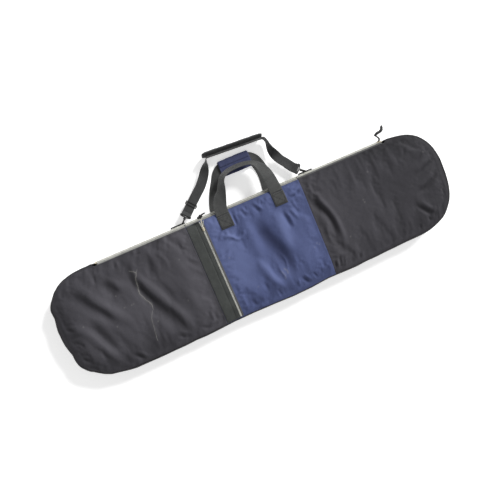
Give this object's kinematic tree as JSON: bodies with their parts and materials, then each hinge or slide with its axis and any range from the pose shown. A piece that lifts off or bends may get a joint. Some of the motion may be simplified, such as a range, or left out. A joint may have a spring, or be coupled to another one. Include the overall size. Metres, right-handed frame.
{
  "type": "snowboard bag",
  "caption": "Long padded snowboard bag with rounded ends, full-length edge zip, end pocket, two carry handles and a hooked-on shoulder strap with a sliding pad.",
  "frame": {"origin": "centre of the flat outer face of the back panel, on the floor when the bag lies on its back", "axes": "+X along the bag to the nose end, +Y towards the zip and handles, +Z out of the front face"},
  "size_m": [1.6038, 0.6338, 0.0883],
  "materials": {
    "black_fabric": "matt woven polyester",
    "navy_fabric": "matt woven polyester",
    "piping_black": "smooth covered cord",
    "foam_grey": "closed-cell foam",
    "lining_grey": "light woven lining",
    "webbing_dark": "ribbed woven webbing",
    "zip_tape": "woven zip tape",
    "zip_cream": "moulded teeth",
    "slider_cream": "moulded slider",
    "cord_black": "braided cord",
    "hardware_black": "black coated die casting"
  },
  "bodies": {
    "bag": {"back_outer_panel": "black_fabric", "back_foam": "foam_grey", "back_lining": "lining_grey", "tail_front_outer": "black_fabric", "tail_front_foam": "foam_grey", "tail_front_lining": "lining_grey", "nose_front_outer": "black_fabric", "nose_front_foam": "foam_grey", "nose_front_lining": "lining_grey", "pocket_panel": "black_fabric", "gusset_zip_side": "black_fabric", "gusset_lower": "black_fabric", "gusset_tail": "black_fabric", "gusset_nose": "black_fabric", "front_piping": "piping_black", "back_piping": "piping_black", "zip_back_teeth": "zip_cream", "zip_back_tape": "zip_tape", "zip_front_teeth_tail": "zip_cream", "zip_front_tape_tail": "zip_tape", "zip_front_teeth_nose": "zip_cream", "zip_front_tape_nose": "zip_tape", "zip_stop_tail": "zip_cream", "zip_stop_nose": "zip_cream", "ring_tab_left": "webbing_dark", "ring_tab_right": "webbing_dark", "back_handle_patch_left": "webbing_dark", "back_handle_patch_right": "webbing_dark"},
    "mouth": {"centre_front_outer": "navy_fabric", "centre_front_foam": "foam_grey", "centre_front_lining": "lining_grey", "zip_front_teeth_centre": "zip_cream", "zip_front_tape_centre": "zip_tape", "pocket_webbing_band": "webbing_dark", "pocket_zip_teeth_left": "zip_cream", "pocket_zip_teeth_right": "zip_cream", "pocket_zip_tape_left": "zip_tape", "pocket_zip_tape_right": "zip_tape", "front_handle_patch_left": "webbing_dark", "front_handle_patch_right": "webbing_dark"},
    "main_slider": {"main_slider": "slider_cream"},
    "main_pull": {"main_pull_cord": "cord_black", "main_pull_grip": "cord_black"},
    "pocket_slider": {"pocket_slider": "slider_cream"},
    "pocket_pull": {"pocket_pull_cord": "cord_black"},
    "front_handle": {"front_handle_webbing": "webbing_dark"},
    "back_handle": {"back_handle_webbing": "webbing_dark", "grip_wrap": "navy_fabric"},
    "grip_flap": {"grip_flap": "navy_fabric"},
    "ring_left": {"ring_left": "hardware_black"},
    "ring_right": {"ring_right": "hardware_black"},
    "strap": {"strap_webbing": "webbing_dark", "left_bale": "hardware_black", "right_bale": "hardware_black"},
    "shoulder_pad": {"shoulder_pad": "black_fabric"},
    "strap_adjuster": {"strap_adjuster": "hardware_black"},
    "left_hook": {"left_hook": "hardware_black"},
    "right_hook": {"right_hook": "hardware_black"},
    "left_gate": {"left_gate": "hardware_black"},
    "right_gate": {"right_gate": "hardware_black"}
  },
  "joints": [
    {"name": "mouth_open", "type": "hinge", "parent": "bag", "child": "mouth", "pos_m": [0, -0.201, 0.0646], "axis": [1, 0, 0], "range_deg": [0, 25]},
    {"name": "main_slider_travel", "type": "slide", "parent": "bag", "child": "main_slider", "axis": [1, 0, 0], "range_m": [-1.16, 0]},
    {"name": "main_pull_swing", "type": "hinge", "parent": "main_slider", "child": "main_pull", "pos_m": [0.594, 0.20678, 0.05677], "axis": [1, 0, 0], "range_deg": [0, 112]},
    {"name": "pocket_slider_travel", "type": "slide", "parent": "mouth", "child": "pocket_slider", "axis": [0, 1, 0], "range_m": [-0.32, 0.01]},
    {"name": "pocket_pull_swing", "type": "hinge", "parent": "pocket_slider", "child": "pocket_pull", "pos_m": [-0.174, 0.158, 0.0864], "axis": [1, 0, 0], "range_deg": [0, 165]},
    {"name": "back_handle_lift", "type": "hinge", "parent": "bag", "child": "back_handle", "pos_m": [0.017, 0.2065, 0.0029], "axis": [1, 0, 0], "range_deg": [0, 85]},
    {"name": "front_handle_lift", "type": "hinge", "parent": "mouth", "child": "front_handle", "pos_m": [0.025, 0.1778, 0.07603], "axis": [1, 0, 0], "range_deg": [0, 150]},
    {"name": "grip_flap_open", "type": "hinge", "parent": "back_handle", "child": "grip_flap", "pos_m": [0.044, 0.379, 0.02], "axis": [-1, 0, 0], "range_deg": [0, 120]},
    {"name": "strap_lift", "type": "hinge", "parent": "ring_left", "child": "strap", "pos_m": [-0.236, 0.21206, 0.03419], "axis": [1, 0, 0], "range_deg": [0, 120]},
    {"name": "ring_left_swing", "type": "hinge", "parent": "bag", "child": "ring_left", "pos_m": [-0.255, 0.209, 0.0124], "axis": [1, 0, 0], "range_deg": [-37, 0]},
    {"name": "ring_right_swing", "type": "hinge", "parent": "bag", "child": "ring_right", "pos_m": [0.2815, 0.209, 0.0124], "axis": [1, 0, 0], "range_deg": [-37, 0]},
    {"name": "shoulder_pad_slide", "type": "slide", "parent": "strap", "child": "shoulder_pad", "axis": [0.9985, -0.0539, 0], "range_m": [-0.008, 0.008]},
    {"name": "strap_adjuster_slide", "type": "slide", "parent": "strap", "child": "strap_adjuster", "axis": [0.7661, 0.6427, -0.0061], "range_m": [-0.02, 0.04]},
    {"name": "left_hook_swivel", "type": "hinge", "parent": "strap", "child": "left_hook", "pos_m": [-0.236, 0.21206, 0.03419], "axis": [0.7079, 0.6784, -0.1966], "range_deg": [-8, 8]},
    {"name": "right_hook_swivel", "type": "hinge", "parent": "strap", "child": "right_hook", "pos_m": [0.283, 0.21206, 0.03419], "axis": [-0.7287, 0.6561, -0.1962], "range_deg": [-8, 8]},
    {"name": "left_gate_open", "type": "hinge", "parent": "left_hook", "child": "left_gate", "pos_m": [-0.22682, 0.22086, 0.03959], "axis": [0.6919, -0.722, 0], "range_deg": [0, 14], "stiffness_Nm_per_rad": 0.02},
    {"name": "right_gate_open", "type": "hinge", "parent": "right_hook", "child": "right_gate", "pos_m": [0.27356, 0.22057, 0.0396], "axis": [0.6691, 0.7431, 0], "range_deg": [0, 14], "stiffness_Nm_per_rad": 0.02}
  ],
  "couplings": [
    {"joint": "main_slider_travel", "follows": "mouth_open", "m_per_rad": -2.658},
    {"joint": "front_handle_lift", "follows": "back_handle_lift", "ratio": 1.75},
    {"joint": "ring_left_swing", "follows": "strap_lift", "ratio": -0.3},
    {"joint": "ring_right_swing", "follows": "strap_lift", "ratio": -0.3}
  ]
}
